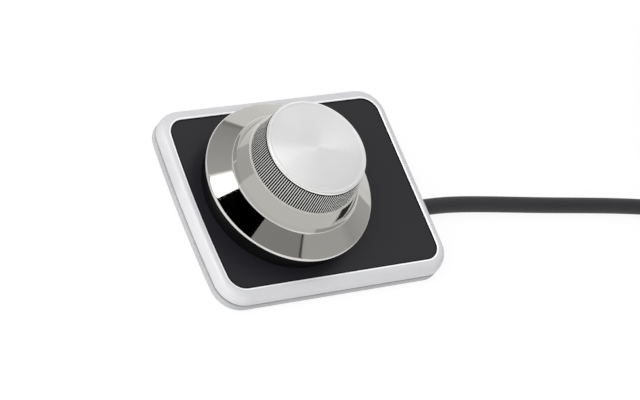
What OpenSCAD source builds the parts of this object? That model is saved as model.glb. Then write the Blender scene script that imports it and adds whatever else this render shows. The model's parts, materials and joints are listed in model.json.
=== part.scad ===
// Remote level control: a low framed plate that carries a flared, knurled knob on a rotary potentiometer.
// Millimetres, +Z up. The origin is the middle of the plate's footprint, on the surface that it stands on.

/* [Panel and frame] */
// Width of the black panel, from its straight right side to its left corners
panel_w = 70; // [62:0.5:84]
// Height of the black panel, across the plate
panel_h = 54.5; // [54:0.5:66]
// How far the left side bows outwards at its middle
side_bow = 1.1; // [0.5:0.1:3]
// Corner radius of the panel
panel_r = 5; // [3:0.5:8]
// Gap between the panel and the frame
panel_gap = 0.2; // [0.1:0.05:0.4]
// Thickness of the panel
panel_t = 1.2; // [0.8:0.1:1.6]
// Width of the frame beside the panel, left and right
border_x = 2.9; // [2.5:0.1:5]
// Width of the frame beside the panel, above and below
border_y = 3.6; // [2.5:0.1:5]
// Outer corner radius of the frame and of the base plate
frame_r = 8; // [6:0.5:10]
// Flat top land of the frame, before it rounds over
frame_land = 1.45; // [0.9:0.05:2]
// Height of the frame, from the base plate to its rim
frame_h = 4.6; // [4.4:0.1:7]
// How far the rim stands above the panel
rim_up = 0.5; // [0.2:0.1:0.8]
// Fine bevel on the rim's inner edge
rim_bevel = 0.1; // [0.05:0.05:0.3]
// Width of the ledge that carries the panel
ledge_w = 1.6; // [1:0.1:2.5]
// Thickness of that ledge
ledge_t = 0.9; // [0.6:0.1:1.2]
// Wall of the frame beside the inner space
frame_wall = 2.1; // [1.6:0.1:2.3]
// Depth of the dark seam between frame and base plate
seam_d = 0.3; // [0.1:0.1:0.6]
// Height of that seam
seam_h = 0.25; // [0.1:0.05:0.4]

/* [Base] */
// Thickness of the base plate
base_t = 1.8; // [1.4:0.1:2.4]
// Thickness of the soft pad under the base plate
pad_t = 0.5; // [0.3:0.1:1.5]
// How far the pad stays back from the base plate's edge
pad_in = 3; // [2:0.5:6]
// Corner screws, from the panel's edge to their middle
screw_in = 4.2; // [3.8:0.1:5]
// Shank radius of the corner screws
screw_r = 0.9; // [0.7:0.05:1]
// Head radius of the corner screws
screw_head_r = 1.8; // [1.5:0.1:2]
// Length of the corner screws, head included
screw_l = 4; // [3.6:0.1:4.4]
// Radius of the frame's screw posts
post_r = 2.6; // [2.2:0.1:3]

/* [Plinth] */
// Place of the knob's axis along the plate
knob_x = -8.5; // [-9:0.5:4]
// How far the black plinth stays inside the skirt's edge
plinth_in = 1.6; // [1:0.1:3]
// Height of the plinth above the panel
plinth_h = 6.1; // [5:0.1:8]
// Wall of the plinth
plinth_wall = 2; // [1.5:0.1:3]
// Thickness of the plinth's top
plinth_top = 1.6; // [1.2:0.1:2]
// Circle on which the plinth's screws stand
plinth_screw_pcr = 17.5; // [16.5:0.1:18.5]
// Shank radius of the plinth's screws
plinth_screw_r = 0.9; // [0.7:0.05:1.1]
// Head radius of the plinth's screws
plinth_head_r = 1.7; // [1.5:0.1:2]
// Height of their heads
plinth_head_h = 0.8; // [0.5:0.1:1]

/* [Knob] */
// Gap between the plinth and the turning knob
knob_gap = 0.35; // [0.25:0.05:0.8]
// Radius of the flared skirt at its edge
skirt_r = 25.4; // [24.6:0.1:26]
// Thickness of the skirt's rounded edge
skirt_edge = 0.75; // [0.5:0.05:1.2]
// Radius at the crease where the skirt meets the barrel
crease_r = 19.1; // [18.5:0.1:20]
// Height of the crease above the skirt's lower edge
crease_h = 5; // [4:0.1:6.5]
// Radius of the grip at its foot
grip_r = 16.25; // [15.8:0.05:17]
// Height of the barrel between crease and grip
barrel_h = 6; // [5.5:0.1:8]
// How far the barrel's foot runs in at 45 degrees before its side turns up
barrel_foot = 1.1; // [0.7:0.1:1.4]
// Width of the ledge that the barrel leaves round the grip's foot
barrel_ledge = 0.6; // [0.3:0.1:0.9]
// Height of the knurled grip
grip_h = 7.85; // [6.5:0.1:10]
// Radius of the grip at its top
grip_top_r = 15; // [14.4:0.1:15.6]
// Number of knurl grooves round the grip
knurl_n = 144; // [96:12:180]
// Depth of a knurl groove
knurl_d = 0.28; // [0.1:0.02:0.4]
// Polished bevel round the flat top
top_bevel = 0.5; // [0.3:0.1:0.9]
// Wall of the skirt and the barrel
shell_t = 1.2; // [0.9:0.1:1.5]
// Radius of the hub where it fills the grip
hub_r = 8; // [6.5:0.1:9]
// Radius of the hub's flange that holds the skirt
hub_flange_r = 12.5; // [11.5:0.1:13]
// Thickness of that flange
hub_flange_t = 1.6; // [1.2:0.1:2]

/* [Potentiometer] */
// Radius of the potentiometer's case
pot_r = 8.4; // [7:0.1:9]
// Height of the potentiometer's case
pot_h = 5.6; // [5.2:0.1:5.8]
// Wall of the case
pot_wall = 0.6; // [0.4:0.05:0.8]
// Thickness of the bushing's front plate
front_t = 0.8; // [0.6:0.1:1]
// Radius of the bushing's thread
bush_r = 4; // [3.6:0.1:4.5]
// Length of the bushing above its front plate
bush_h = 5.2; // [4.8:0.1:5.8]
// Radius of the shaft
shaft_r = 3; // [2.8:0.05:3.2]
// How far the shaft stands into the hub
shaft_in = 9; // [7:0.5:10]
// Depth of the flat on the shaft
flat_d = 1.5; // [1:0.1:1.8]
// Thickness of the washer
washer_t = 0.5; // [0.3:0.1:0.7]
// Thickness of the nut
nut_t = 2; // [1.6:0.1:2.2]
// Nut across its flats
nut_af = 11; // [10.5:0.5:13]
// Thickness of the retaining ring on the shaft
ring_t = 0.5; // [0.4:0.05:0.6]
// Thickness of the resistive track's wafer
track_t = 0.8; // [0.6:0.1:1]
// Thickness of the wiper's disc
wiper_t = 1.2; // [0.8:0.1:1.6]

/* [Circuit board] */
// Length of the board along the plate
board_w = 26; // [22:0.5:28]
// Width of the board across the plate
board_d = 28; // [26:0.5:30]
// Thickness of the board
board_t = 0.8; // [0.6:0.1:1]
// Distance between the potentiometer's terminals
pin_pitch = 5; // [3.5:0.1:5.5]
// How far the terminals stand in front of the axis
pin_y = 10; // [9.6:0.1:11]

/* [Cable] */
// Diameter of the cable
cord_d = 4.8; // [4.2:0.1:5]
// Place of the cable across the plate
cord_y = -9.2; // [-12:0.1:-5]
// Height of the cable's middle where it leaves the frame
cord_z = 3.1; // [2.9:0.1:3.4]
// Wall of the soft bush round the cable
cable_bush_t = 0.35; // [0.25:0.05:0.5]
// Radius of one inner lead
lead_r = 0.4; // [0.3:0.05:0.45]
// Distance between the inner leads
lead_pitch = 1.1; // [1:0.05:1.2]
// Number of inner leads
lead_n = 4; // [2:1:4]

/* [Plug] */
// Width of the modular plug
plug_w = 9.6; // [9:0.1:10.5]
// Height of the plug
plug_h = 6.6; // [6:0.1:7]
// Length of the plug
plug_l = 14; // [12:0.5:16]
// Length of the boot behind the plug
boot_l = 9; // [8:0.5:10]

/* [Hidden] */
$fn = 64;

// Clearances
fit = 0.1;
slip = 0.05;

// Heights
base_z = pad_t;
frame_z = base_z + base_t;
rim_z = frame_z + frame_h;
panel_z = rim_z - rim_up;
panel_z0 = panel_z - panel_t;
ledge_z = panel_z0 - ledge_t;
plinth_z = panel_z + plinth_h;
plinth_in_z = plinth_z - plinth_top;
skirt_z = plinth_z + knob_gap;
crease_z = skirt_z + crease_h;
grip_z = crease_z + barrel_h;
grip_top_z = grip_z + grip_h;
top_z = grip_top_z + top_bevel;

// Widths
plinth_r = skirt_r - plinth_in;
plate_l = panel_w + side_bow + 2 * border_x;
panel_x = plate_l / 2 - border_x;
screw_x = panel_x - screw_in;
screw_y = panel_h / 2 - screw_in;
cavity_g = border_x - frame_wall;

// Potentiometer heights, hung from the plinth's top
bush_z = plinth_in_z;
front_z = bush_z - front_t;
case_z = front_z - pot_h;
board_z = case_z - board_t;
track_z = case_z + pot_wall;
track_r = pot_r - pot_wall - fit;
tab_y = pin_y + 0.8;
tab_w = 2 * pin_pitch + 2;
wiper_gap = 0.4;
wiper_z = track_z + track_t + wiper_gap;
wiper_r = track_r - 1;
pin_w = 0.9;
pin_t = 0.4;
pin_z = board_z - 0.5;
pin_top = track_z + track_t + 0.6;
washer_z = plinth_z;
washer_r = nut_af / 2 + 0.6;
nut_z = washer_z + washer_t;
bush_top = bush_z + bush_h;
ring_z = bush_top + 0.1;
ring_r = shaft_r + 1.4;
groove_r = shaft_r - 0.5;

// Knob insides
hub_z = ring_z + ring_t + 0.4;
flange_z = grip_z - shell_t - hub_flange_t;
hub_top = grip_top_z - 1.4;
shaft_top = hub_z + shaft_in;
flat_z = hub_z + 0.3;
bore_r = shaft_r + slip;
clip_t = 0.35;
clip_w = 3;
clip_h = 5;
hole_r = plinth_screw_pcr - plinth_head_r - 2.4;
pocket_z = grip_z;

// Cable
cord_r = cord_d / 2;
exit_x = plate_l / 2;
bush_in_x = panel_x + 0.3;
cable_hole_r = cord_r + slip + cable_bush_t + slip;
lead_x0 = knob_x + board_w / 2 - 3;
lead_z = board_z - slip - lead_r;

// The cable's route, chosen by hand: along and across from the frame, and how high between floor and exit
route_steps = [
    [0, 0, 1], [3.5, 0, 1], [9.5, -0.2, 0.7], [15.5, -0.7, 0.2], [22.5, -1.6, 0],
    [31.5, -3, 0], [41.5, -4.6, 0], [52.5, -6.2, 0], [63.5, -7.8, 0], [74.5, -9.6, 0],
    [84.5, -11.6, 0], [94.5, -14.4, 0], [104.5, -17.8, 0], [114.5, -21.2, 0], [121.5, -22.6, 0],
    [126.5, -22.9, 0], [131.5, -22.9, 0]
];
cord_rest = cord_r + 0.05;
route = [
    for (p = route_steps)
        [exit_x + p[0], cord_y + p[1], cord_rest + (cord_z - cord_rest) * p[2]]
];
route_in = [bush_in_x, cord_y, cord_z];
route_end = route[len(route) - 1];

// The hank: long loops in four layers, drawn in at the waist, where a strap holds them
hank_run = 73;
hank_r = 32.1;
hank_x = route_end[0] + cord_d;
hank_y = route_end[1] + hank_r;
hank_step = cord_d + 0.85;
hank_layer = cord_d + 0.7;
hank_top_layer = cord_r + plug_h / 2 + 1.3;
tail_step = 24;
waist_in = 8;
waist_lift = 0.95;
loop_rings = 24;
run_rings = 5;
fold_rings = 7;
layer_loops = 4;
layers = 4;
hank_rings = layers * layer_loops * loop_rings;
layer_rings = layer_loops * loop_rings;
climb_at = layer_rings - loop_rings / 2;

// Strap round the hank
strap_w = 10;
strap_t = 0.8;
strap_x = hank_x + hank_run / 2;

// Points on an arc, ends included
function arc(x, y, r, a0, a1, n) = [
    for (i = [0:n])
        let (a = a0 + (a1 - a0) * i / n)
        [x + r * cos(a), y + r * sin(a)]
];

// Outline of the plate, gx and gy outside the panel's edge: straight on three sides and bowed on the left
function plate_outline(gx, gy, r) =
    let (
        x1 = panel_x + gx,
        y1 = panel_h / 2 + gy,
        bow_r = (y1 * y1 + side_bow * side_bow) / (2 * side_bow),
        bow_x = bow_r - x1,
        cy = y1 - r,
        cx = bow_x - sqrt(pow(bow_r - r, 2) - cy * cy),
        turn = atan2(cy, cx - bow_x)
    )
    concat(
        arc(x1 - r, -cy, r, -90, 0, 10),
        arc(x1 - r, cy, r, 0, 90, 10),
        arc(cx, cy, r, 90, turn, 10),
        [for (i = [1:11]) bow_r * [cos(turn + (180 - turn) * i / 6), sin(turn + (180 - turn) * i / 6)] + [bow_x, 0]],
        arc(cx, -cy, r, 360 - turn, 270, 10)
    );

// A flat slice of the plate
module slice(gx, gy, r, z, t) {
    translate([0, 0, z])
        linear_extrude(t)
            polygon(plate_outline(gx, gy, r));
}

// Copies its children to the four corner screws
module at_corner_screws() {
    for (sx = [-1, 1], sy = [-1, 1])
        translate([sx * screw_x + (sx < 0 ? side_bow : 0), sy * screw_y, 0])
            children();
}

// Copies its children to the plinth's three screws
module at_plinth_screws() {
    for (a = [90, 210, 330])
        translate([knob_x + plinth_screw_pcr * cos(a), plinth_screw_pcr * sin(a), 0])
            children();
}

module on_axis() {
    translate([knob_x, 0, 0])
        children();
}

// Frame: a hollow rim whose side rounds over in one tall quarter ellipse
module frame_blank() {
    skin = 0.02;
    hull()
        for (a = [0:15:90])
            slice(
                frame_land + (border_x - frame_land) * sin(a),
                frame_land + (border_y - frame_land) * sin(a),
                frame_r - (border_x - frame_land) * (1 - sin(a)),
                frame_z + (frame_h - skin) * cos(a),
                skin
            );
}

module rim_bevel_cut() {
    skin = 0.02;
    hull() {
        slice(0, 0, panel_r, rim_z - rim_bevel, skin);
        slice(rim_bevel, rim_bevel, panel_r + rim_bevel, rim_z, skin);
    }
}

module frame_cavity() {
    difference() {
        slice(cavity_g, cavity_g, panel_r + cavity_g, frame_z - 1, ledge_z - frame_z + 1);
        at_corner_screws()
            translate([0, 0, frame_z - 1])
                cylinder(h = ledge_z - frame_z + 2, r = post_r);
    }
}

module cable_hole() {
    translate([panel_x - 1, cord_y, cord_z])
        rotate([0, 90, 0])
            cylinder(h = border_x + 2, r = cable_hole_r);
}

module bezel_frame() {
    color("gainsboro")
        difference() {
            frame_blank();
            slice(0, 0, panel_r, panel_z0, rim_z);
            rim_bevel_cut();
            slice(-ledge_w, -ledge_w, panel_r - ledge_w, frame_z - 1, rim_z);
            frame_cavity();
            difference() {
                slice(border_x + 1, border_y + 1, frame_r + 1, frame_z - 1, seam_h + 1);
                slice(border_x - seam_d, border_y - seam_d, frame_r - seam_d, frame_z - 2, seam_h + 3);
            }
            at_corner_screws()
                translate([0, 0, frame_z - 1])
                    cylinder(h = 1 + base_z + screw_l + 0.3 - frame_z, r = screw_r + slip);
            cable_hole();
        }
}

module face_panel() {
    color("#26262a")
        translate([0, 0, panel_z0])
            difference() {
                linear_extrude(panel_t)
                    polygon(plate_outline(-panel_gap, -panel_gap, panel_r - panel_gap));
                on_axis()
                    translate([0, 0, -1])
                        cylinder(h = panel_t + 2, r = hole_r);
                at_plinth_screws()
                    translate([0, 0, -1])
                        cylinder(h = panel_t + 2, r = plinth_screw_r + 0.2);
            }
}

// A countersunk screw standing on its head at z = 0
module corner_screw() {
    head_h = screw_head_r - screw_r;
    difference() {
        union() {
            cylinder(h = head_h, r1 = screw_head_r, r2 = screw_r);
            cylinder(h = screw_l, r = screw_r);
        }
        for (a = [0, 90])
            rotate(a)
                translate([-screw_head_r / 2, -0.2, -0.1])
                    cube([screw_head_r, 0.4, head_h]);
    }
}

module base_plate() {
    head_h = screw_head_r - screw_r;
    color("dimgray")
        difference() {
            slice(border_x, border_y, frame_r, base_z, base_t);
            at_corner_screws() {
                translate([0, 0, base_z])
                    cylinder(h = head_h + fit, r1 = screw_head_r + fit, r2 = screw_r);
                translate([0, 0, base_z - 1])
                    cylinder(h = base_t + 2, r = screw_r + fit);
            }
            cable_hole();
            translate([panel_x - 1, cord_y - cable_hole_r, base_z - 1])
                cube([border_x + 2, 2 * cable_hole_r, cord_z - base_z + 1]);
        }
}

module base_pad() {
    color("#202020")
        linear_extrude(pad_t)
            difference() {
                polygon(plate_outline(border_x - pad_in, border_y - pad_in, panel_r));
                at_corner_screws()
                    circle(screw_head_r + 0.6);
            }
}

module base_screws() {
    color("silver")
        at_corner_screws()
            translate([0, 0, base_z])
                corner_screw();
}

// Plinth: an upside-down cup that carries the potentiometer under its top
module plinth() {
    post = plinth_screw_r + 1.5;
    color("#121214")
        difference() {
            union() {
                on_axis()
                    translate([0, 0, panel_z])
                        rotate_extrude()
                            polygon([
                                [plinth_r - plinth_wall, 0],
                                [plinth_r, 0],
                                [plinth_r, plinth_h - 0.4],
                                [plinth_r - 0.4, plinth_h],
                                [bush_r + slip, plinth_h],
                                [bush_r + slip, plinth_h - plinth_top],
                                [plinth_r - plinth_wall, plinth_h - plinth_top]
                            ]);
                at_plinth_screws()
                    translate([0, 0, panel_z])
                        cylinder(h = plinth_h - plinth_top / 2, r = post);
            }
            at_plinth_screws()
                translate([0, 0, panel_z - 1])
                    cylinder(h = plinth_h - plinth_top + 1, r = plinth_screw_r + slip);
        }
}

module plinth_screws() {
    shank = panel_t + plinth_h - plinth_top - 0.6;
    color("silver")
        at_plinth_screws()
            translate([0, 0, panel_z0])
                difference() {
                    union() {
                        translate([0, 0, -plinth_head_h])
                            cylinder(h = plinth_head_h, r = plinth_head_r);
                        cylinder(h = shank, r = plinth_screw_r);
                    }
                    for (a = [0, 90])
                        rotate(a)
                            translate([-plinth_head_r / 2, -0.2, -plinth_head_h - 0.1])
                                cube([plinth_head_r, 0.4, 0.5]);
                }
}

// Copies its children to the three terminals
module at_pins() {
    for (i = [-1, 0, 1])
        translate([knob_x + i * pin_pitch, -pin_y, 0])
            children();
}

module circuit_board() {
    color("darkgreen")
        difference() {
            on_axis()
                translate([-board_w / 2, -board_d / 2, board_z])
                    cube([board_w, board_d, board_t]);
            at_pins()
                translate([0, 0, board_z - 1])
                    cylinder(h = board_t + 2, r = 0.75);
        }
}

module pot_case() {
    color("darkgray")
        on_axis()
            difference() {
                translate([0, 0, case_z])
                    cylinder(h = pot_h, r = pot_r);
                translate([0, 0, track_z])
                    cylinder(h = pot_h, r = pot_r - pot_wall);
                translate([-tab_w / 2 - fit, -tab_y, track_z])
                    cube([tab_w + 2 * fit, tab_y, track_t + fit]);
            }
}

module pot_track() {
    color("saddlebrown")
        difference() {
            on_axis()
                translate([0, 0, track_z]) {
                    cylinder(h = track_t, r = track_r);
                    translate([-tab_w / 2, -tab_y, 0])
                        cube([tab_w, tab_y - 3, track_t]);
                }
            at_pins()
                translate([-pin_w / 2 - slip, -pin_t / 2 - slip, track_z - 1])
                    cube([pin_w + 2 * slip, pin_t + 2 * slip, track_t + 2]);
        }
}

module pot_terminals() {
    color("silver")
        at_pins()
            translate([-pin_w / 2, -pin_t / 2, pin_z])
                cube([pin_w, pin_t, pin_top - pin_z]);
}

module pot_bushing() {
    color("goldenrod")
        on_axis()
            translate([0, 0, front_z])
                rotate_extrude()
                    polygon([
                        [bore_r, 0],
                        [pot_r, 0],
                        [pot_r, front_t],
                        [bush_r, front_t],
                        [bush_r, front_t + bush_h - 0.3],
                        [bush_r - 0.3, front_t + bush_h],
                        [bore_r, front_t + bush_h]
                    ]);
}

module pot_washer() {
    color("silver")
        on_axis()
            translate([0, 0, washer_z])
                difference() {
                    cylinder(h = washer_t, r = washer_r);
                    translate([0, 0, -1])
                        cylinder(h = washer_t + 2, r = bush_r + fit);
                }
}

module pot_nut() {
    color("goldenrod")
        on_axis()
            translate([0, 0, nut_z])
                difference() {
                    cylinder(h = nut_t, r = nut_af / 2 / cos(30), $fn = 6);
                    translate([0, 0, -1])
                        cylinder(h = nut_t + 2, r = bush_r + slip);
                }
}

// Shaft: flatted where the hub holds it, grooved for its ring, with a foot that carries the wiper
module pot_shaft() {
    foot_z = wiper_z + wiper_t;
    color("lightgray")
        on_axis()
            difference() {
                union() {
                    translate([0, 0, foot_z])
                        cylinder(h = shaft_top - foot_z, r = shaft_r);
                    translate([0, 0, foot_z])
                        cylinder(h = front_z - fit - foot_z, r = shaft_r + 1);
                }
                translate([shaft_r - flat_d, -shaft_r - 1, flat_z])
                    cube([flat_d + 1, 2 * shaft_r + 2, shaft_top]);
                translate([0, 0, ring_z - slip])
                    difference() {
                        cylinder(h = ring_t + 2 * slip, r = shaft_r + 2);
                        translate([0, 0, -1])
                            cylinder(h = ring_t + 3, r = groove_r);
                    }
            }
}

module pot_wiper() {
    color("ivory")
        on_axis()
            translate([0, 0, wiper_z]) {
                cylinder(h = wiper_t, r = wiper_r);
                translate([wiper_r - 2, -0.6, -wiper_gap + slip])
                    cube([1.2, 1.2, wiper_gap]);
            }
}

module shaft_ring() {
    color("silver")
        on_axis()
            translate([0, 0, ring_z])
                difference() {
                    cylinder(h = ring_t, r = ring_r);
                    translate([0, 0, -1])
                        cylinder(h = ring_t + 2, r = groove_r + slip);
                    translate([0, -groove_r * 0.7, -1])
                        cube([ring_r + 1, groove_r * 1.4, ring_t + 2]);
                }
}

// Side of the barrel: a short foot at the crease, then a steep side up to the ledge
function barrel_side(foot, top) = [foot, foot + [-barrel_foot, barrel_foot], top];

// Skirt: a polished shell that flares from the grip to a thin rounded edge
module knob_skirt() {
    round = skirt_edge / 2;
    edge_turn = 50;
    inner_crease = crease_r - shell_t;
    color("lightsteelblue")
        on_axis()
            rotate_extrude($fn = 128)
                polygon(concat(
                    [[skirt_r - 2.2, skirt_z]],
                    arc(skirt_r - round, skirt_z + round, round, -90, edge_turn, 6),
                    [[crease_r + 0.4, crease_z - 0.3]],
                    barrel_side([crease_r, crease_z + 0.2], [grip_r + barrel_ledge, grip_z]),
                    [
                        [hub_r + fit, grip_z],
                        [hub_r + fit, grip_z - shell_t],
                        [grip_r - shell_t, grip_z - shell_t],
                        [inner_crease, crease_z - 0.2],
                        [skirt_r - 2.2, skirt_z + skirt_edge]
                    ]
                ));
}

// Outline of the knurled grip at its foot
function knurl_outline() = [
    for (i = [0:2 * knurl_n - 1])
        let (a = 180 * i / knurl_n, r = grip_r - (i % 2) * knurl_d)
        [r * cos(a), r * sin(a)]
];

// Grip and flat top, turned from one piece
module knob_cap() {
    color("gainsboro")
        on_axis()
            difference() {
                union() {
                    translate([0, 0, grip_z])
                        linear_extrude(grip_h, scale = grip_top_r / grip_r)
                            polygon(knurl_outline());
                    translate([0, 0, grip_top_z])
                        cylinder(h = top_bevel, r1 = grip_top_r - knurl_d - 0.05, r2 = grip_top_r - top_bevel - knurl_d, $fn = 128);
                }
                translate([0, 0, grip_z - 1])
                    cylinder(h = hub_top - grip_z + 1 + slip, r = hub_r + slip);
            }
}

module knob_hub() {
    color("#303034")
        on_axis()
            difference() {
                union() {
                    translate([0, 0, hub_z])
                        cylinder(h = hub_top - hub_z, r = hub_r);
                    translate([0, 0, flange_z])
                        cylinder(h = hub_flange_t, r = hub_flange_r);
                }
                difference() {
                    translate([0, 0, hub_z - 1])
                        cylinder(h = shaft_top - hub_z + 1.5, r = bore_r);
                    translate([shaft_r - flat_d + clip_t + 2 * slip, -bore_r, flat_z + fit])
                        cube([bore_r, 2 * bore_r, shaft_top]);
                }
            }
}

// Leaf spring between the shaft's flat and the hub
module hub_clip() {
    color("silver")
        on_axis()
            translate([shaft_r - flat_d + slip, -clip_w / 2, hub_z + 1])
                cube([clip_t, clip_w, clip_h]);
}

// Copies its children to the inner leads
module at_leads() {
    for (i = [0:lead_n - 1])
        translate([0, cord_y + (i - (lead_n - 1) / 2) * lead_pitch, lead_z])
            children();
}

module wire_leads() {
    color("firebrick")
        at_leads()
            translate([lead_x0, 0, 0])
                rotate([0, 90, 0])
                    cylinder(h = bush_in_x - lead_x0, r = lead_r, $fn = 24);
}

module lead_tie() {
    tie_l = 2.4;
    tie_t = 0.25;
    in_w = lead_n * lead_pitch + 0.2;
    in_h = 2 * (lead_r + slip);
    color("white")
        translate([panel_x - ledge_w - tie_l - 2, cord_y, lead_z])
            difference() {
                translate([0, -in_w / 2 - tie_t, -in_h / 2 - tie_t])
                    cube([tie_l, in_w + 2 * tie_t, in_h + 2 * tie_t]);
                translate([-1, -in_w / 2, -in_h / 2])
                    cube([tie_l + 2, in_w, in_h]);
            }
}

module cable_bush() {
    color("#181818")
        translate([bush_in_x, cord_y, cord_z])
            rotate([0, 90, 0])
                difference() {
                    cylinder(h = exit_x - bush_in_x - 0.1, r = cord_r + slip + cable_bush_t);
                    translate([0, 0, -1])
                        cylinder(h = border_x + 3, r = cord_r + slip);
                }
}

// One closed tube of n sides along a list of points
module swept_tube(pts, r, n) {
    last = len(pts) - 1;
    rings = [
        for (i = [0:last])
            let (
                t = pts[min(i + 1, last)] - pts[max(i - 1, 0)],
                along = t / norm(t),
                side = cross(along, [0, 0, 1]) / norm(cross(along, [0, 0, 1])),
                up = cross(side, along)
            )
            for (k = [0:n - 1])
                pts[i] + r * (cos(360 * k / n) * side + sin(360 * k / n) * up)
    ];
    walls = [
        for (i = [0:last - 1], k = [0:n - 1])
            let (a = i * n + k, b = i * n + (k + 1) % n)
            each [[a, b, b + n], [a, b + n, a + n]]
    ];
    ends = [
        for (k = [1:n - 2])
            each [[0, k + 1, k], [last * n, last * n + k, last * n + k + 1]]
    ];
    polyhedron(points = rings, faces = [for (f = concat(walls, ends)) [f[0], f[2], f[1]]]);
}

module cord_tube() {
    color("#1c1c1e")
        swept_tube(concat([route_in], route), cord_r, 10);
}

// Hank: how far ring i has gone into its layer, and which layer that is
function hank_layer_of(i) = i < climb_at ? 0 : 1 + floor((i - climb_at) / layer_rings);
function hank_in_layer(i) = i < climb_at ? i : (i - climb_at) % layer_rings;
function hank_climb(i) = i < climb_at ? 1 : min(1, hank_in_layer(i) / run_rings);
function hank_spin(i) = i < climb_at ? i : max(0, hank_in_layer(i) - run_rings);
function layer_start(k) =
    k == 0 ? hank_r : layer_start(k - 1) + hank_way(k - 1) * hank_step * layer_turns(k - 1);
function hank_way(k) = k % 2 == 0 ? -1 : 1;
function layer_turns(k) = (k == 0 ? climb_at : layer_rings - run_rings) / loop_rings;
function hank_radius(i) =
    let (k = hank_layer_of(i))
    layer_start(k) + hank_way(k) * (k == layers ? tail_step : hank_step) * hank_spin(i) / loop_rings;
function layer_z(k) = cord_rest + k * hank_layer + (k == layers ? hank_top_layer - hank_layer : 0);
function hank_height(i) =
    let (k = hank_layer_of(i), c = hank_climb(i))
    k == 0 ? layer_z(0) : layer_z(k - 1) + (layer_z(k) - layer_z(k - 1)) * c;

// How strongly the waist draws a point in, from 0 at the folds to 1 at the strap
function waist(x) = x < 0 || x > hank_run ? 0 : (1 - cos(360 * x / hank_run)) / 2;
function hank_point(i) =
    let (
        r = hank_radius(i),
        z = hank_height(i),
        j = i % loop_rings,
        half = loop_rings / 2,
        east = j < half,
        m = east ? j : j - half,
        on_run = m <= run_rings,
        s = on_run ? m / run_rings * hank_run : hank_run,
        a = on_run ? 0 : 180 * (m - run_rings) / fold_rings,
        x = s + r * sin(a),
        y = -cos(a) * r + (on_run ? waist_in * waist(s) : 0),
        lift = on_run ? waist_lift * waist(s) : 0
    )
    east ? [hank_x + x, hank_y + y, z + lift] : [hank_x + hank_run - x, hank_y - y, z + lift];
hank_pts = concat(
    [route_end],
    [for (i = [0:hank_rings]) hank_point(i)],
    [hank_point(hank_rings) + [cord_d, 0, 0]]
);

// Least gap between two turns of the hank, measured from each point to the stretches of other turns
function to_stretch(p, a, b) =
    let (d = b - a, t = max(0, min(1, (p - a) * d / (d * d))))
    norm(p - a - t * d);
near = 6 * cord_d;
hank_gap = min([
    for (i = [0:2:hank_rings])
        for (j = [i + 12:1:hank_rings - 1])
            if (abs(hank_pts[i][2] - hank_pts[j][2]) < 2 * cord_d && norm(hank_pts[i] - hank_pts[j]) < near)
                to_stretch(hank_pts[i], hank_pts[j], hank_pts[j + 1]) - cord_d
]);

module cord_hank() {
    echo(least_gap = hank_gap);
    color("#1c1c1e")
        swept_tube(hank_pts, cord_r, 6);
}

// Strap round the waist of the hank, higher where the last turn climbs
module hank_tie() {
    half = hank_r + hank_step - waist_in + cord_r;
    low = strap_t;
    high = layer_z(layers - 1) + waist_lift + cord_r + 0.3;
    peak = (layer_z(layers - 1) + layer_z(layers)) / 2 + waist_lift + cord_r + 0.4;
    inside = [
        [-half + 2, low], [half - 2, low], [half, low + 2], [half, peak - 1.5], [half - 1.5, peak],
        [half - 8, peak], [half - 15, high], [-half + 2, high], [-half, high - 2], [-half, low + 2]
    ];
    color("#101010")
        translate([strap_x - strap_w / 2, hank_y, 0])
            rotate([90, 0, 90])
                linear_extrude(strap_w)
                    difference() {
                        offset(delta = strap_t)
                            polygon(inside);
                        polygon(inside);
                    }
}

// Places its children behind the cable's end, with +X along the plug
module at_plug() {
    translate(hank_pts[len(hank_pts) - 1])
        children();
}

module plug_boot() {
    color("#151515")
        at_plug()
            rotate([0, 90, 0])
                cylinder(h = boot_l, r1 = cord_r + 0.2, r2 = plug_h / 2 - 0.1);
}

module plug_body() {
    latch_l = plug_l - 3;
    color("lightblue")
        at_plug()
            translate([boot_l, 0, 0])
                difference() {
                    union() {
                        translate([0, -plug_w / 2, -plug_h / 2])
                            cube([plug_l, plug_w, plug_h]);
                        translate([plug_l - 2, -1.6, plug_h / 2 - 0.7])
                            rotate([0, -168, 0])
                                translate([0, 0, -1])
                                    cube([latch_l, 3.2, 1]);
                    }
                    for (i = [-1.5:1:1.5])
                        translate([plug_l - 5, i * 1.3 - 0.3, -plug_h / 2 - 1])
                            cube([4, 0.6, 3]);
                }
}

module plug_contacts() {
    color("gold")
        at_plug()
            for (i = [-1.5:1:1.5])
                translate([boot_l + plug_l - 5 + fit, i * 1.3 - 0.2, -plug_h / 2 + 0.3])
                    cube([3.8, 0.4, 1.6]);
}

bezel_frame();
face_panel();
base_plate();
base_pad();
base_screws();
plinth();
plinth_screws();
circuit_board();
pot_case();
pot_track();
pot_terminals();
pot_bushing();
pot_washer();
pot_nut();
pot_shaft();
pot_wiper();
shaft_ring();
knob_skirt();
knob_cap();
knob_hub();
hub_clip();
wire_leads();
lead_tie();
cable_bush();
cord_tube();
cord_hank();
hank_tie();
plug_boot();
plug_body();
plug_contacts();
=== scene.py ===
# Remote level control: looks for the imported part. Metres, in the part's own frame.
import json
import math

import bmesh
import bpy
from mathutils import Matrix, Vector


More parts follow.
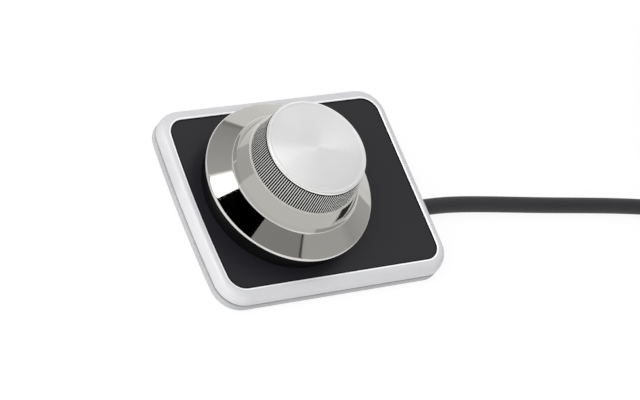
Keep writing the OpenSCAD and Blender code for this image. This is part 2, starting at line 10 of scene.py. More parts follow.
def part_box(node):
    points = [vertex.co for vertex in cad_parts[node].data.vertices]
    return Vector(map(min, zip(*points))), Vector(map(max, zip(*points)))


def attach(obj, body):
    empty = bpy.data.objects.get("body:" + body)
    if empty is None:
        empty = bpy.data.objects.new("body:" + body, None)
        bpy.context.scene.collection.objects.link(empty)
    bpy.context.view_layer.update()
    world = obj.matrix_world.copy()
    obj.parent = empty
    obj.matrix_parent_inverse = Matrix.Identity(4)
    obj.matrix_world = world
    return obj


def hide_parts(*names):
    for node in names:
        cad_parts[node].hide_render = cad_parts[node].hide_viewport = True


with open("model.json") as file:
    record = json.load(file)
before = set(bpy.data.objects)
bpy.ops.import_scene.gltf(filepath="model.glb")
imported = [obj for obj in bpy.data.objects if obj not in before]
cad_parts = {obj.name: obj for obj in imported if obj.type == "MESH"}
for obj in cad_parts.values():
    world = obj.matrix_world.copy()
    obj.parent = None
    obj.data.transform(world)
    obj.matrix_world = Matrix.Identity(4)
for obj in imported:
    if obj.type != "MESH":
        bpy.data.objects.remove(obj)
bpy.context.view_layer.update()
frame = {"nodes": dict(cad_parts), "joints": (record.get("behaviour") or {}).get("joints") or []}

MM = 0.001
NODES = frame["nodes"]

# Places that the part itself gives
PANEL_LOW, PANEL_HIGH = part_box("face_panel")
FRAME_LOW, FRAME_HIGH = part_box("bezel_frame")
PLINTH_LOW, PLINTH_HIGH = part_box("plinth")
SKIRT_LOW, SKIRT_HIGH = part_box("knob_skirt")
CAP_LOW, CAP_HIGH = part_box("knob_cap")
PAD_LOW, PAD_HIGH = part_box("base_pad")
SCREWS_LOW, SCREWS_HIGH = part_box("base_screws")
BUSH_LOW, BUSH_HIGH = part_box("cable_bush")
TIE_LOW, TIE_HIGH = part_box("hank_tie")
BOOT_LOW, BOOT_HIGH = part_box("plug_boot")
PLUG_LOW, PLUG_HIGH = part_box("plug_body")
AXIS = Vector(frame["joints"][0]["pos_m"]).xy
PANEL_Z = PANEL_HIGH.z

# Camera, placed where the photograph was taken from
CAMERA_AT = Vector((-402.6, -279.17, 578.72)) * MM
CAMERA_AIM = Vector((8.25, -0.61, 0)) * MM
CAMERA_ROLL = math.radians(40.08)
CAMERA_LENS, CAMERA_SENSOR = 149.5, 36
CAMERA_NEAR, CAMERA_FAR = 0.01, 20

# Plate outline
SIDE_BOW = 1.1 * MM
PANEL_GAP = 0.2 * MM
PANEL_R = 5 * MM
FRAME_R = 8 * MM
FRAME_LAND = 0.5 * MM
SHOULDER_FULLNESS = 3.1
LIP_DROP = 0.25 * MM
CUT_EDGE_IN = 0.2 * MM
# A thin lip round the panel's edge, painted black as the shadow line there
SHADOW_LIP_W = 0.35 * MM
SHADOW_LIP_H = 0.12 * MM
SHADOW_LIP_FOOT = 0.02 * MM
LEDGE_W = 1.6 * MM
SEAM_D = 0.5 * MM
SEAM_H = 0.25 * MM
PANEL_X = PANEL_HIGH.x + PANEL_GAP
PANEL_Y = PANEL_HIGH.y + PANEL_GAP
BORDER_X = FRAME_HIGH.x - PANEL_X
BORDER_Y = FRAME_HIGH.y - PANEL_Y
PAD_EDGE = 0.12 * MM
SCREW_HEAD_R = 1.8 * MM
PAD_HOLE_R = SCREW_HEAD_R + 0.6 * MM
BUSH_ROOM = 0.02 * MM
BUSH_EDGE = 0.12 * MM
BUSH_ROUND_X, BUSH_ROUND_R = 0.03 * MM, 0.05 * MM
CORNER_STEPS = 16
BOW_STEPS = 16

# Plinth
PLINTH_WALL = 2 * MM
PLINTH_ROOF = 1.6 * MM
PLINTH_HOLE_R = 4.1 * MM
PLINTH_EDGE = 0.4 * MM
PLINTH_FOOT_EDGE = 0.15 * MM

# Knob
SKIRT_R = (SKIRT_HIGH.x - SKIRT_LOW.x) / 2
LIP_IN, LIP_H = 2.2 * MM, 0.75 * MM
EDGE_UNDER = 0.3 * MM
EDGE_OVER = 0.9 * MM
FLARE_TILT = 56
CREASE_R = 19.1 * MM
CREASE_H = 5 * MM
CREASE_CUT = 0.2 * MM
CREASE_INSIDE = 0.2 * MM
FLARE_BAND = 0.04
BARREL_FOOT = 0.1 * MM
FOOT_TILT, WAIST_TILT, SHOULDER_TILT = 44, 14.5, 18
WAIST_R, WAIST_H = 18.3 * MM, 1.1 * MM
SHOULDER = 0.6 * MM
SHELL_T = 1.2 * MM
HUB_R = 8.1 * MM
GRIP_R = (CAP_HIGH.x - CAP_LOW.x) / 2
GRIP_TOP_R = 15 * MM
KNURLS = 144
KNURL_DEPTH = 0.36 * MM
KNURL_STEPS = 10
RIDGE_STEPS = 2
KNURL_EDGE = 0.04 * MM
CAP_FOOT, CAP_FOOT_EDGE = 0.1 * MM, 0.03 * MM
TOP_RING_H = 0.75 * MM
TOP_RING_IN = 0.08 * MM
TOP_ROUND = 0.6 * MM
NECK_H, NECK_IN = 0.25 * MM, 0.1 * MM
TURNED_LINE_R = 13.75 * MM
TURNED_LINE_W, TURNED_LINE_D = 0.06 * MM, 0.03 * MM
TOP_INNER_RINGS = (6 * MM, 0.4 * MM)
ROUND = 256

# Cable, as it is laid in the part's source
CORD_R = 2.4 * MM
CORD_Y = -9.2 * MM
CORD_Z = 3.1 * MM
CORD_REST = CORD_R + 0.05 * MM
# Its way from the frame's side to the hank, as (along, aside, share of the exit's height) in mm
ROUTE_STEPS = [
    (0, 0, 1), (3.5, 0, 1), (9.5, -0.2, 0.7), (15.5, -0.7, 0.2), (22.5, -1.6, 0),
    (31.5, -3, 0), (41.5, -4.6, 0), (52.5, -6.2, 0), (63.5, -7.8, 0), (74.5, -9.6, 0),
    (84.5, -11.6, 0), (94.5, -14.4, 0), (104.5, -17.8, 0), (114.5, -21.2, 0), (121.5, -22.6, 0),
    (126.5, -22.9, 0), (131.5, -22.9, 0),
]
HANK_RUN = 73 * MM
HANK_R = 32.1 * MM
HANK_STEP = 5.65 * MM
HANK_LAYER = 5.5 * MM
HANK_TOP_LAYER = 7 * MM
TAIL_STEP = 24 * MM
WAIST_IN = 8 * MM
WAIST_LIFT = 0.95 * MM
LOOP_RINGS = 24
RUN_RINGS = 5
FOLD_RINGS = 7
LAYERS = 4
LAYER_RINGS = 4 * LOOP_RINGS
CLIMB_AT = LAYER_RINGS - LOOP_RINGS // 2

# Strap round the hank: its raised part goes over the cable's tail, and its end laps over its top
STRAP_T = 0.8 * MM
STRAP_EDGE = 0.25 * MM
STRAP_ROOM = 0.3 * MM
STRAP_BEND, STRAP_BEND_SHARE = 2.6 * MM, 0.45
RAISED_W, RAISED_FOOT_W = 8 * MM, 15 * MM
LAP_FROM, LAP_TO = 17 * MM, 14 * MM
LAP_NIP, LAP_TAPER = 1 * MM, 2 * MM
LAP_T, LAP_NIP_T, LAP_TIP_T = 0.9, 0.5, 0.6
LAP_EDGE = 0.2 * MM
LAP_WIDE, LAP_NARROW = 0.97, 0.9

# Boot and plug
BOOT_WALL, BOOT_STEP = 0.2 * MM, 0.1 * MM
BOOT_BORE = CORD_R * 0.96
BOOT_EDGE, BOOT_END_EDGE = 0.15 * MM, 0.2 * MM
BOOT_RIBS = 4
BOOT_GROOVE = 0.35 * MM
PLUG_H = 6.6 * MM
PLUG_L = 14 * MM
PLUG_R = 0.6 * MM
# Sections of the plug, as (along, taken off) in mm
PLUG_SECTIONS = [(0, 1.0), (0.25, 0.35), (0.7, 0), (13.2, 0), (13.75, 0.4), (14, 1.0)]
LATCH_W = 3.2 * MM
LATCH_R = 0.25 * MM
# Sections of its latch, as (along, up, share of the width, thickness) in mm
LATCH_SECTIONS = [
    (12, -0.7, 0.9, 0.9), (11, -0.25, 1, 1), (9, 0.35, 1, 1),
    (6, 1.0, 1, 0.95), (3, 1.55, 0.95, 0.85), (1.3, 1.8, 0.8, 0.6),
]
CONTACTS = 4
CONTACT_PITCH = 1.3 * MM
SLOT_IN, SLOT_L, SLOT_W = 5 * MM, 4 * MM, 0.6 * MM
SLOT_D, SLOT_OVER = 2 * MM, 1 * MM


# Camera

def make_camera():
    data = bpy.data.cameras.new("camera")
    data.lens = CAMERA_LENS
    data.sensor_width = CAMERA_SENSOR
    camera = add_object("camera", data)
    ahead = (CAMERA_AIM - CAMERA_AT).to_track_quat("-Z", "Y").to_matrix().to_4x4()
    camera.matrix_world = Matrix.Translation(CAMERA_AT) @ ahead @ Matrix.Rotation(CAMERA_ROLL, 4, "Z")
    data.clip_start = CAMERA_NEAR
    data.clip_end = CAMERA_FAR
    bpy.context.scene.camera = camera


# Object and mesh helpers

def add_object(name, data):
    thing = bpy.data.objects.new(name, data)
    bpy.context.scene.collection.objects.link(thing)
    return thing


def add_piece(name, data, body, materials, hides=()):
    """Adds a piece that rides on a body, and hides the CAD nodes that it stands for."""
    piece = add_object(name, data)
    for material in materials:
        piece.data.materials.append(material)
    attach(piece, body)
    if hides:
        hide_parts(*hides)
    return piece


def mesh_from(name, verts, faces, sharp=40, finishes=None):
    """A mesh with merged points, outward faces and smooth shading, broken at sharp edges."""
    mesh = bpy.data.meshes.new(name)
    mesh.from_pydata([tuple(v) for v in verts], [], faces)
    if finishes:
        mesh.polygons.foreach_set("material_index", finishes)
    fix = bmesh.new()
    fix.from_mesh(mesh)
    bmesh.ops.remove_doubles(fix, verts=fix.verts, dist=1e-7)
    bmesh.ops.recalc_face_normals(fix, faces=fix.faces)
    fix.to_mesh(mesh)
    fix.free()
    mesh.shade_smooth()
    mesh.set_sharp_from_angle(angle=math.radians(sharp))
    return mesh


def loft(name, rings, closed_profile=True, sharp=40, finish_of=None):
    """Quads between rings of equal count. An open profile is capped at both ends."""
    count = len(rings[0])
    verts = [v for ring in rings for v in ring]
    last = len(rings) if closed_profile else len(rings) - 1
    faces = []
    finishes = []
    for i in range(last):
        a, b = i * count, (i + 1) % len(rings) * count
        for k in range(count):
            n = (k + 1) % count
            faces.append((a + k, a + n, b + n, b + k))
            finishes.append(finish_of(i, k) if finish_of else 0)
    if not closed_profile:
        faces.append(tuple(range(count)))
        faces.append(tuple((len(rings) - 1) * count + k for k in range(count)))
        finishes += [0, finish_of(last - 1, 0) if finish_of else 0]
    return mesh_from(name, verts, faces, sharp, finishes)


def turned(name, profile, steps=ROUND, sharp=40, finish_of=None):
    """A shape turned round the knob's axis from a closed list of (radius, height) points."""
    turns = [2 * math.pi * k / steps for k in range(steps)]
    rings = [
        [(AXIS.x + r * math.cos(a), AXIS.y + r * math.sin(a), z) for a in turns]
        for r, z in profile
    ]
    return loft(name, rings, sharp=sharp, finish_of=finish_of)


def turned_along(name, profile, centre, steps=48, sharp=40):
    """A shape turned round a line along X from a closed list of (x, radius) points."""
    turns = [2 * math.pi * k / steps for k in range(steps)]
    rings = [
        [(x, centre.y + r * math.cos(a), centre.z + r * math.sin(a)) for a in turns]
        for x, r in profile
    ]
    return loft(name, rings, sharp=sharp)


def arc(x, y, r, start, end, steps):
    turns = [math.radians(start + (end - start) * i / steps) for i in range(steps + 1)]
    return [(x + r * math.cos(a), y + r * math.sin(a)) for a in turns]


def sweep(start, middle, end, steps):
    """Points on a smooth curve that leaves start towards middle and comes into end from it."""
    start, middle, end = Vector(start), Vector(middle), Vector(end)
    shares = [i / steps for i in range(steps + 1)]
    return [tuple(start.lerp(middle, t).lerp(middle.lerp(end, t), t)) for t in shares]


def leaning(start, start_tilt, end, end_tilt, steps):
    """A smooth side from start up to end, that leans in by each tilt in degrees at its ends."""
    lean_a, lean_b = math.tan(math.radians(start_tilt)), math.tan(math.radians(end_tilt))
    z = (start[0] - end[0] + lean_a * start[1] - lean_b * end[1]) / (lean_a - lean_b)
    return sweep(start, (start[0] - lean_a * (z - start[1]), z), end, steps)


def rounded_box(width, height, r, steps=4):
    """Points (y, z) round a rectangle with rounded corners."""
    y, z = width / 2 - r, height / 2 - r
    return (
        arc(y, z, r, 0, 90, steps) + arc(-y, z, r, 90, 180, steps)
        + arc(-y, -z, r, 180, 270, steps) + arc(y, -z, r, 270, 360, steps)
    )


def combined(name, first, second, way):
    """One mesh from two closed ones, joined or cut."""
    parts = [add_object(f"{name}_first", first), add_object(f"{name}_second", second)]
    step = parts[0].modifiers.new("combine", "BOOLEAN")
    step.operation = way
    step.solver = "EXACT"
    step.object = parts[1]
    graph = bpy.context.evaluated_depsgraph_get()
    mesh = bpy.data.meshes.new_from_object(parts[0].evaluated_get(graph))
    for part in parts:
        bpy.data.objects.remove(part)
    mesh.name = name
    return mesh


# Cable and hank

def hank_place(i):
    """Layer, climb and spiral step of ring i."""
    if i < CLIMB_AT:
        return 0, 1.0, i
    layer = 1 + (i - CLIMB_AT) // LAYER_RINGS
    inside = (i - CLIMB_AT) % LAYER_RINGS
    return layer, min(1.0, inside / RUN_RINGS), max(0, inside - RUN_RINGS)


def layer_z(k):
    return CORD_REST + k * HANK_LAYER + (HANK_TOP_LAYER - HANK_LAYER if k == LAYERS else 0)


def layer_start(k):
    if k == 0:
        return HANK_R
    rings = CLIMB_AT if k == 1 else LAYER_RINGS - RUN_RINGS
    way = -1 if k % 2 == 1 else 1
    return layer_start(k - 1) + way * HANK_STEP * rings / LOOP_RINGS


def hank_point(i, start):
    layer, climb, spin = hank_place(i)
    way = -1 if layer % 2 == 0 else 1
    step = TAIL_STEP if layer == LAYERS else HANK_STEP
    r = layer_start(layer) + way * step * spin / LOOP_RINGS
    below = layer_z(max(0, layer - 1))
    z = below + (layer_z(layer) - below) * climb
    half = LOOP_RINGS // 2
    j = i % LOOP_RINGS
    east = j < half
    m = j if east else j - half
    if m <= RUN_RINGS:
        along = m / RUN_RINGS * HANK_RUN
        waist = (1 - math.cos(2 * math.pi * m / RUN_RINGS)) / 2
        x, y, lift = along, -r + WAIST_IN * waist, WAIST_LIFT * waist
    else:
        turn = math.pi * (m - RUN_RINGS) / FOLD_RINGS
        x, y, lift = HANK_RUN + r * math.sin(turn), -r * math.cos(turn), 0
    if not east:
        x, y = HANK_RUN - x, -y
    return start + Vector((x, y + HANK_R, z + lift - CORD_REST))


def cord_points():
    free = [
        Vector((FRAME_HIGH.x + x * MM, CORD_Y + y * MM, CORD_REST + (CORD_Z - CORD_REST) * up))
        for x, y, up in ROUTE_STEPS
    ]
    straight = Vector((2 * CORD_R, 0, 0))
    hank = [hank_point(i, free[-1] + straight) for i in range(LAYERS * LAYER_RINGS + 1)]
    return [Vector((BUSH_LOW.x, CORD_Y, CORD_Z))] + free + hank + [hank[-1] + straight]


def make_cord(material):
    points = cord_points()
    data = bpy.data.curves.new("lead", "CURVE")
    data.dimensions = "3D"
    data.bevel_depth = CORD_R
    data.bevel_resolution = 5
    data.resolution_u = 4
    data.use_fill_caps = True
    spline = data.splines.new("NURBS")
    spline.points.add(len(points) - 1)
    for point, place in zip(spline.points, points):
        point.co = (*place, 1)
    spline.order_u = 4
    spline.use_endpoint_u = True
    return add_piece("lead", data, "plate", [material], ("cord_tube", "cord_hank"))


def make_strap(material):
    """A woven strap round the hank's waist, whose end laps over its top."""
    width = TIE_HIGH.x - TIE_LOW.x
    mid_x, mid_y = (TIE_LOW.x + TIE_HIGH.x) / 2, (TIE_LOW.y + TIE_HIGH.y) / 2
    half = TIE_HIGH.y - mid_y - STRAP_T / 2
    low, peak = TIE_LOW.z + STRAP_T / 2, TIE_HIGH.z - STRAP_T / 2
    high = layer_z(LAYERS - 1) + WAIST_LIFT + CORD_R + STRAP_ROOM + STRAP_T / 2
    corners = [Vector(c) for c in (
        (-half, low), (half, low), (half, peak),
        (half - RAISED_W, peak), (half - RAISED_FOOT_W, high), (-half, high),
    )]
    path = []
    for i, here in enumerate(corners):
        before, after = corners[i - 1] - here, corners[(i + 1) % len(corners)] - here
        cut = min(STRAP_BEND, before.length * STRAP_BEND_SHARE, after.length * STRAP_BEND_SHARE)
        path += sweep(here + before.normalized() * cut, here, here + after.normalized() * cut, 6)
    rings = []
    for x, out in rounded_box(width, STRAP_T, STRAP_EDGE, 2):
        ring = []
        for k, (y, z) in enumerate(path):
            along = (Vector(path[(k + 1) % len(path)]) - Vector(path[k - 1])).normalized()
            ring.append((mid_x + x, mid_y + y + along.y * out, z - along.x * out))
        rings.append(ring)
    mesh = loft("hank_strap", rings, sharp=60)
    strap = add_piece("hank_strap", mesh, "plate", [material], ("hank_tie",))
    lap_z = high + STRAP_T
    start, tip = half - LAP_FROM, LAP_TO - half
    lap = []
    for y, thick, wide in (
        (start, LAP_NIP_T, LAP_NARROW), (start - LAP_NIP, LAP_T, LAP_WIDE), (0, LAP_T, LAP_WIDE),
        (tip + LAP_TAPER, LAP_T, LAP_WIDE), (tip, LAP_TIP_T, LAP_NARROW),
    ):
        ring = rounded_box(width * wide, STRAP_T * thick, LAP_EDGE, 2)
        lap.append([(mid_x + x, mid_y + y, lap_z + z - STRAP_T * (1 - thick) / 2) for x, z in ring])
    mesh = loft("strap_end", lap, closed_profile=False, sharp=60)
    end = add_piece("strap_end", mesh, "plate", [material])
    return strap, end


def make_boot(material):
    """The plug's ribbed boot, from the cord's size up to the plug's."""
    centre = (BOOT_LOW + BOOT_HIGH) / 2
    start, end = BOOT_LOW.x, BOOT_HIGH.x
    thin, thick = CORD_R + BOOT_WALL, PLUG_H / 2 - BOOT_STEP
    profile = [(start, BOOT_BORE), (start, thin - BOOT_EDGE), (start + BOOT_EDGE, thin)]
    for i in range(BOOT_RIBS):
        for share, sink in ((0.15, 0), (0.3, BOOT_GROOVE), (0.7, BOOT_GROOVE), (0.85, 0)):
            t = (i + share) / BOOT_RIBS
            profile.append((start + (end - start) * t, thin + (thick - thin) * t - sink))
    profile += [(end - BOOT_END_EDGE, thick), (end, thick - BOOT_END_EDGE), (end, BOOT_BORE)]
    mesh = turned_along("plug_boot_ribbed", profile, centre, sharp=35)
    return add_piece("plug_boot_ribbed", mesh, "plate", [material], ("plug_boot",))


def make_plug(material):
    """A clear modular plug with a spring latch and a slot for each contact."""
    centre = Vector((PLUG_LOW.x, (PLUG_LOW.y + PLUG_HIGH.y) / 2, PLUG_LOW.z + PLUG_H / 2))
    low, top = centre.z - PLUG_H / 2, centre.z + PLUG_H / 2
    width = PLUG_HIGH.y - PLUG_LOW.y
    body = []
    for x, off in PLUG_SECTIONS:
        ring = rounded_box(width - off * MM, PLUG_H - off * MM, PLUG_R)
        body.append([(centre.x + x * MM, centre.y + y, centre.z + z) for y, z in ring])
    block = loft("plug_block", body, closed_profile=False, sharp=50)
    slots = []
    for i in range(CONTACTS):
        y = centre.y + (i - (CONTACTS - 1) / 2) * CONTACT_PITCH
        slots += [
            (centre.x + PLUG_L - SLOT_IN + along, y + side, low + up)
            for along in (0, SLOT_L) for side in (-SLOT_W / 2, SLOT_W / 2) for up in (-SLOT_OVER, SLOT_D)
        ]
    box = [(0, 1, 3, 2), (4, 6, 7, 5), (0, 4, 5, 1), (2, 3, 7, 6), (0, 2, 6, 4), (1, 5, 7, 3)]
    faces = [tuple(8 * i + corner for corner in face) for i in range(CONTACTS) for face in box]
    block = combined("plug_block", block, mesh_from("plug_slots", slots, faces), "DIFFERENCE")
    latch = []
    for x, z, share, thick in LATCH_SECTIONS:
        ring = rounded_box(LATCH_W * share, thick * MM, LATCH_R)
        latch.append([(centre.x + x * MM, centre.y + y, top + z * MM + h) for y, h in ring])
    spring = loft("plug_latch", latch, closed_profile=False, sharp=50)
    mesh = combined("plug_clear_body", block, spring, "UNION")
    mesh.shade_smooth()
    mesh.set_sharp_from_angle(angle=math.radians(40))
    return add_piece("plug_clear_body", mesh, "plate", [material], ("plug_body",))


# Plate

def outline(gx, gy, r):
    """The plate's outline, gx and gy outside the panel's edge: three straight sides, and one bowed."""
    x1, y1 = PANEL_X + gx, PANEL_Y + gy
    bow_r = (y1 * y1 + SIDE_BOW * SIDE_BOW) / (2 * SIDE_BOW)
    bow_x = bow_r - x1
    cy = y1 - r
    cx = bow_x - math.sqrt((bow_r - r) ** 2 - cy * cy)
    turn = math.degrees(math.atan2(cy, cx - bow_x))
    return (
        arc(x1 - r, -cy, r, -90, 0, CORNER_STEPS)
        + arc(x1 - r, cy, r, 0, 90, CORNER_STEPS)
        + arc(cx, cy, r, 90, turn, CORNER_STEPS)
        + arc(bow_x, 0, bow_r, turn, 360 - turn, BOW_STEPS)[1:-1]
        + arc(cx, -cy, r, 360 - turn, 270, CORNER_STEPS)
    )


def outline_at(gx, gy, r, z):
    return [(x, y, z) for x, y in outline(gx, gy, r)]


def make_frame(satin, edge_painted_highlight, shadow_lip, seam):
    """The satin frame: a seam painted grey as its shadow, a rounded shoulder, a flat land, a cut edge painted
    bright as its highlight, and a lip painted black as the shadow line round the panel.
    """
    low, top = FRAME_LOW.z, FRAME_HIGH.z - LIP_DROP
    sunk = FRAME_R - SEAM_D
    rings = [
        outline_at(-LEDGE_W, -LEDGE_W, PANEL_R - LEDGE_W, low),
        outline_at(BORDER_X - SEAM_D, BORDER_Y - SEAM_D, sunk, low),
        outline_at(BORDER_X - SEAM_D, BORDER_Y - SEAM_D, sunk, low + SEAM_H),
    ]
    for a in range(85, -1, -5):
        out = math.sin(math.radians(a)) ** (2 / SHOULDER_FULLNESS)
        rings.append(outline_at(
            FRAME_LAND + (BORDER_X - FRAME_LAND) * out,
            FRAME_LAND + (BORDER_Y - FRAME_LAND) * out,
            FRAME_R - (BORDER_X - FRAME_LAND) * (1 - out),
            low + (top - low) * math.cos(math.radians(a)) ** (2 / SHOULDER_FULLNESS),
        ))
    cut = len(rings)
    shadow_lip_top, foot = PANEL_Z + SHADOW_LIP_H, PANEL_Z + SHADOW_LIP_FOOT
    for inset, z in (
        (-CUT_EDGE_IN, top), (0, shadow_lip_top), (SHADOW_LIP_W, shadow_lip_top), (SHADOW_LIP_W, foot),
        (0, foot), (0, PANEL_LOW.z), (LEDGE_W, PANEL_LOW.z),
    ):
        rings.append(outline_at(-inset, -inset, PANEL_R - inset, z))

    def finish_of(i, _):
        # Satin, except: the cut edge painted bright as its highlight, the lip and inner wall painted black as
        # shade, and the seam painted grey as its shadow
        if cut < i <= cut + 4:
            return 2
        if i == 1:
            return 3
        return 1 if i in (cut - 1, cut) else 0

    mesh = loft("satin_frame", rings, sharp=30, finish_of=finish_of)
    finishes = [satin, edge_painted_highlight, shadow_lip, seam]
    return add_piece("satin_frame", mesh, "plate", finishes, ("bezel_frame",))


def make_pad(material):
    """The thin rubber pad under the base, with rounded edges and a hole for each screw head."""
    data = bpy.data.curves.new("foot_pad", "CURVE")
    data.dimensions = "2D"
    data.fill_mode = "BOTH"
    data.extrude = (PAD_HIGH.z - PAD_LOW.z) / 2 - PAD_EDGE
    data.bevel_depth = PAD_EDGE
    data.bevel_resolution = 2
    data.offset = -PAD_EDGE
    inset = FRAME_HIGH.x - PAD_HIGH.x
    loops = [outline(BORDER_X - inset, BORDER_Y - inset, PANEL_R)]
    reach = SCREW_HEAD_R
    for x in (SCREWS_LOW.x + reach, SCREWS_HIGH.x - reach):
        for y in (SCREWS_LOW.y + reach, SCREWS_HIGH.y - reach):
            loops.append(arc(x, y, PAD_HOLE_R, 360, 0, 32)[:-1])
    for loop in loops:
        spline = data.splines.new("POLY")
        spline.points.add(len(loop) - 1)
        for point, (x, y) in zip(spline.points, loop):
            point.co = (x, y, 0, 1)
        spline.use_cyclic_u = True
    pad = add_object("foot_pad", data)
    pad.location.z = (PAD_LOW.z + PAD_HIGH.z) / 2
    data.materials.append(material)
    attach(pad, "plate")
    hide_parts("base_pad")
    return pad


def make_bush(material):
    """The rubber bush round the cable where it leaves the frame."""
    centre = (BUSH_LOW + BUSH_HIGH) / 2
    start, end = BUSH_LOW.x, BUSH_HIGH.x
    r, bore = (BUSH_HIGH.z - BUSH_LOW.z) / 2, CORD_R + BUSH_ROOM
    profile = [
        (start, bore), (start, r), (end - BUSH_EDGE, r),
        (end - BUSH_ROUND_X, r - BUSH_ROUND_R), (end, r - BUSH_EDGE), (end, bore),
    ]
    mesh = turned_along("cable_grommet", profile, centre, steps=64)
    return add_piece("cable_grommet", mesh, "plate", [material], ("cable_bush",))


def make_plinth(material):
    """The black round plinth that carries the knob over the panel."""
    r = (PLINTH_HIGH.x - PLINTH_LOW.x) / 2
    inner = r - PLINTH_WALL
    low, top = PLINTH_LOW.z, PLINTH_HIGH.z
    roof = top - PLINTH_ROOF
    profile = (
        [(inner, low), (r - PLINTH_FOOT_EDGE, low), (r, low + PLINTH_FOOT_EDGE)]
        + arc(r - PLINTH_EDGE, top - PLINTH_EDGE, PLINTH_EDGE, 0, 90, 6)
        + [(PLINTH_HOLE_R, top), (PLINTH_HOLE_R, roof), (inner, roof)]
    )
    mesh = turned("black_plinth", profile)
    return add_piece("black_plinth", mesh, "plate", [material], ("plinth",))


# Knob

def make_skirt(chrome, rim_highlight, satin, shaded):
    """The polished skirt: a rounded edge and a crease painted light as their highlights, a straight flare,
    and a barrel with a ledge in a darker chrome painted as shade.
    """
    low, top = SKIRT_LOW.z, SKIRT_HIGH.z
    edge_z, crease_z = low + EDGE_UNDER, low + CREASE_H
    under = [(SKIRT_R - LIP_IN, low)] + arc(SKIRT_R - EDGE_UNDER, edge_z, EDGE_UNDER, -90, 0, 5)
    over = arc(SKIRT_R - EDGE_OVER, edge_z, EDGE_OVER, 0, FLARE_TILT, 10)[1:]
    flare_end = (CREASE_R + CREASE_CUT, crease_z - CREASE_CUT / math.tan(math.radians(FLARE_TILT)))
    shares = (FLARE_BAND, 1 - FLARE_BAND, 1)
    flare = [tuple(Vector(over[-1]).lerp(Vector(flare_end), share)) for share in shares]
    foot = (CREASE_R, crease_z + BARREL_FOOT)
    waist = (WAIST_R, crease_z + WAIST_H)
    barrel = leaning(foot, FOOT_TILT, waist, WAIST_TILT, 10)
    barrel += leaning(waist, WAIST_TILT, (GRIP_R + SHOULDER, top), SHOULDER_TILT, 14)[1:]
    inner = [
        (HUB_R, top), (HUB_R, top - SHELL_T), (GRIP_R - SHELL_T, top - SHELL_T),
        (CREASE_R - SHELL_T, crease_z - CREASE_INSIDE), (SKIRT_R - LIP_IN, low + LIP_H),
    ]
    profile = under + over + flare + barrel + inner
    crease = len(under + over + flare) - 1
    ledge = crease + len(barrel)
    # The rim and the crease are painted light as their highlights
    bright = [crease, *range(len(under) + 1, len(under) + 7)]

    def finish_of(i, _):
        if i in bright:
            return 1
        if i == ledge:
            return 2
        # The barrel takes a darker copy of the chrome as painted shade
        return 3 if crease < i < ledge else 0

    mesh = turned("polished_skirt", profile, sharp=30, finish_of=finish_of)
    finishes = [chrome, rim_highlight, satin, shaded]
    return add_piece("polished_skirt", mesh, "knob", finishes, ("knob_skirt",))


def make_cap(bright, shade, spun):
    """The knurled grip, with grooves and a thin neck painted black as their shade, and a spun top with a
    rounded edge.
    """
    low, top = CAP_LOW.z, CAP_HIGH.z
    knurl_top = top - TOP_RING_H - NECK_H
    count = KNURLS * KNURL_STEPS
    turns = [2 * math.pi * k / count for k in range(count)]

    def sunk(k, depth):
        step = k % KNURL_STEPS
        if step < RIDGE_STEPS:
            return 0
        return min(depth, KNURL_EDGE) if step in (RIDGE_STEPS, KNURL_STEPS - 1) else depth

    def ring(r, z, depth=0.0):
        cuts = [r - sunk(k, depth) for k in range(count)]
        return [(AXIS.x + c * math.cos(a), AXIS.y + c * math.sin(a), z) for c, a in zip(cuts, turns)]

    def side(z):
        return GRIP_R + (GRIP_TOP_R - GRIP_R) * (z - low) / (top - low)

    foot = low + CAP_FOOT
    neck_r, neck_top = side(knurl_top) - KNURL_DEPTH - NECK_IN, knurl_top + NECK_H
    rings = [
        ring(HUB_R, low), ring(GRIP_R - CAP_FOOT_EDGE, low), ring(GRIP_R, low + CAP_FOOT_EDGE),
        ring(side(foot), foot), ring(side(foot), foot, KNURL_DEPTH),
        ring(side(knurl_top), knurl_top, KNURL_DEPTH),
        ring(neck_r, knurl_top), ring(neck_r, neck_top), ring(GRIP_TOP_R - TOP_RING_IN, neck_top),
    ]
    # Where the knurl and the neck begin in that list
    knurled, neck = 4, 6
    rings += [
        ring(GRIP_TOP_R - TOP_ROUND + r, top - TOP_ROUND + z)
        for r, z in arc(0, 0, TOP_ROUND, 0, 90, 8)
    ]
    flat = len(rings) - 1
    rings += [
        ring(TURNED_LINE_R + TURNED_LINE_W, top), ring(TURNED_LINE_R, top - TURNED_LINE_D),
        ring(TURNED_LINE_R - TURNED_LINE_W, top), *(ring(r, top) for r in TOP_INNER_RINGS),
    ]

    def finish_of(i, k):
        if i >= flat:
            return 2
        # The groove floors, their falling walls and the neck take the black painted as shade
        if i in (neck - 1, neck) or (i == knurled and RIDGE_STEPS <= k % KNURL_STEPS < KNURL_STEPS - 1):
            return 1
        return 0

    mesh = loft("knurled_cap", rings, closed_profile=False, sharp=30, finish_of=finish_of)
    return add_piece("knurled_cap", mesh, "knob", [bright, shade, spun], ("knob_cap",))


# Finishes

# Sockets of the Mix node, for colours and for plain values
MIX_FACTOR, MIX_A, MIX_B, MIX_RESULT = 0, 6, 7, 2
VALUE_A, VALUE_B, VALUE_RESULT = 2, 3, 0


def put(tree, kind, sockets=None, **settings):
    """Adds a node. Each socket takes a value, or a link where it is given another node's output."""
    node = tree.nodes.new(kind)
    for name, value in settings.items():
        setattr(node, name, value)
    for key, value in (sockets or {}).items():
        if isinstance(value, bpy.types.NodeSocket):
            tree.links.new(value, node.inputs[key])
        else:
            node.inputs[key].default_value = value
    return node


def sums(tree, operation, *values):
    node = put(tree, "ShaderNodeMath", dict(enumerate(values)), operation=operation)
    return node.outputs[0]


